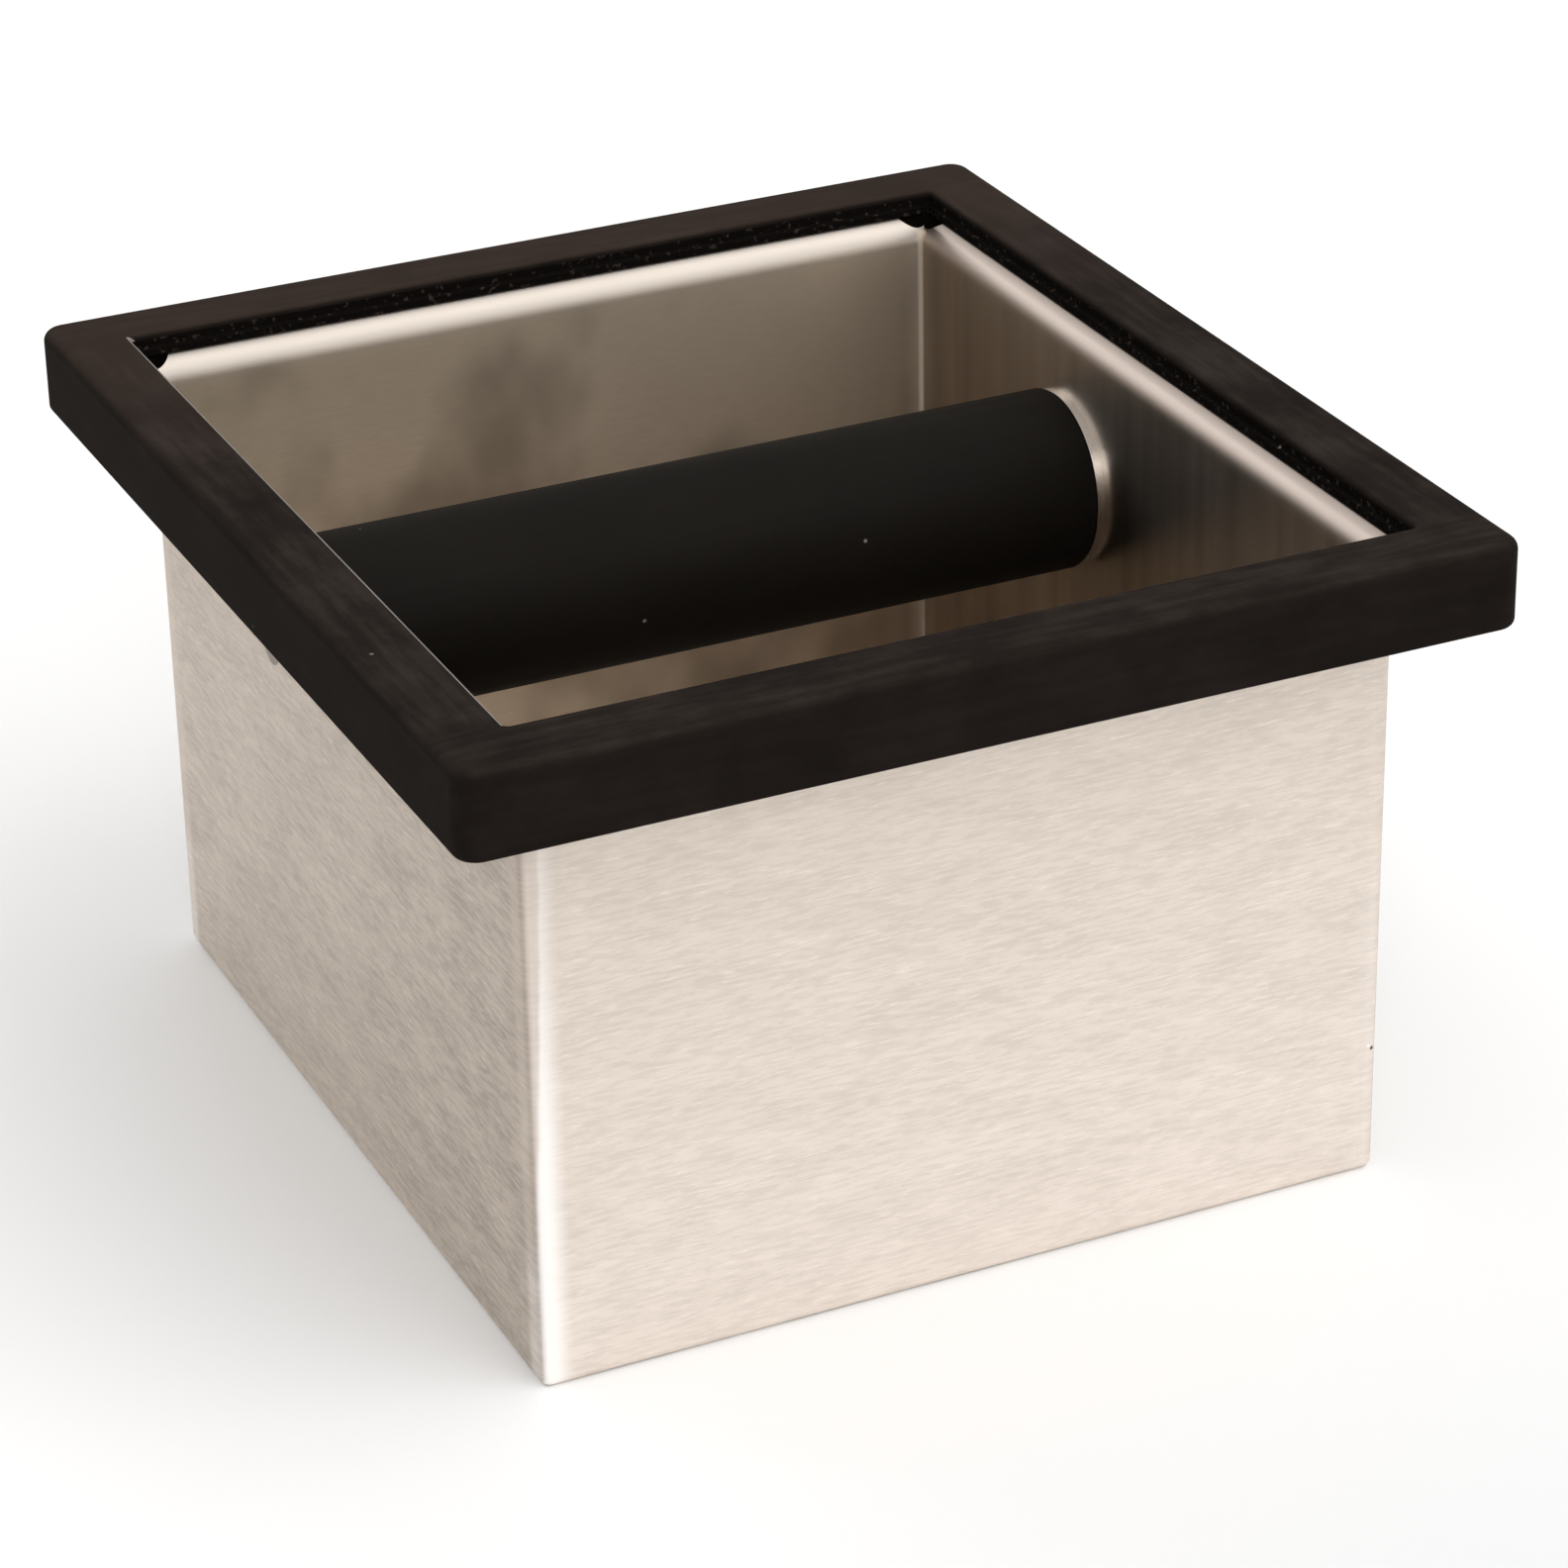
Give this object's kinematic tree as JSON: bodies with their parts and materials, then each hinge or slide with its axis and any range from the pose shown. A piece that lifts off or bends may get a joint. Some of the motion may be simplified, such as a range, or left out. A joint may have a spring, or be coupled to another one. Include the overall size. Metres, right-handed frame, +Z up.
{
  "type": "espresso knock box",
  "caption": "Set-in espresso knock box: folded stainless pan with a turned-out flange, thick rubber rim ring and a rubber-sleeved knock bar screwed across it.",
  "frame": {"origin": "centre of the pan's underside", "axes": "+Z up towards the open mouth, X along the knock bar, +Y from the wide well towards the narrow well behind the bar"},
  "size_m": [0.1554, 0.1694, 0.1016],
  "materials": {
    "pan_steel": "fine brushed, warm white reflections",
    "rim_rubber": "matt, slightly dusty",
    "sleeve_rubber": "smooth, matt",
    "core_steel": "turned",
    "disc_steel": "bright turned edge",
    "screw_steel": "plain stainless"
  },
  "bodies": {
    "root": {"box_pan": "pan_steel", "rim_gasket": "rim_rubber", "bar_core": "core_steel", "bar_sleeve": "sleeve_rubber", "left_end_disc": "disc_steel", "right_end_disc": "disc_steel", "left_bar_screw": "screw_steel", "right_bar_screw": "screw_steel"}
  },
  "joints": []
}
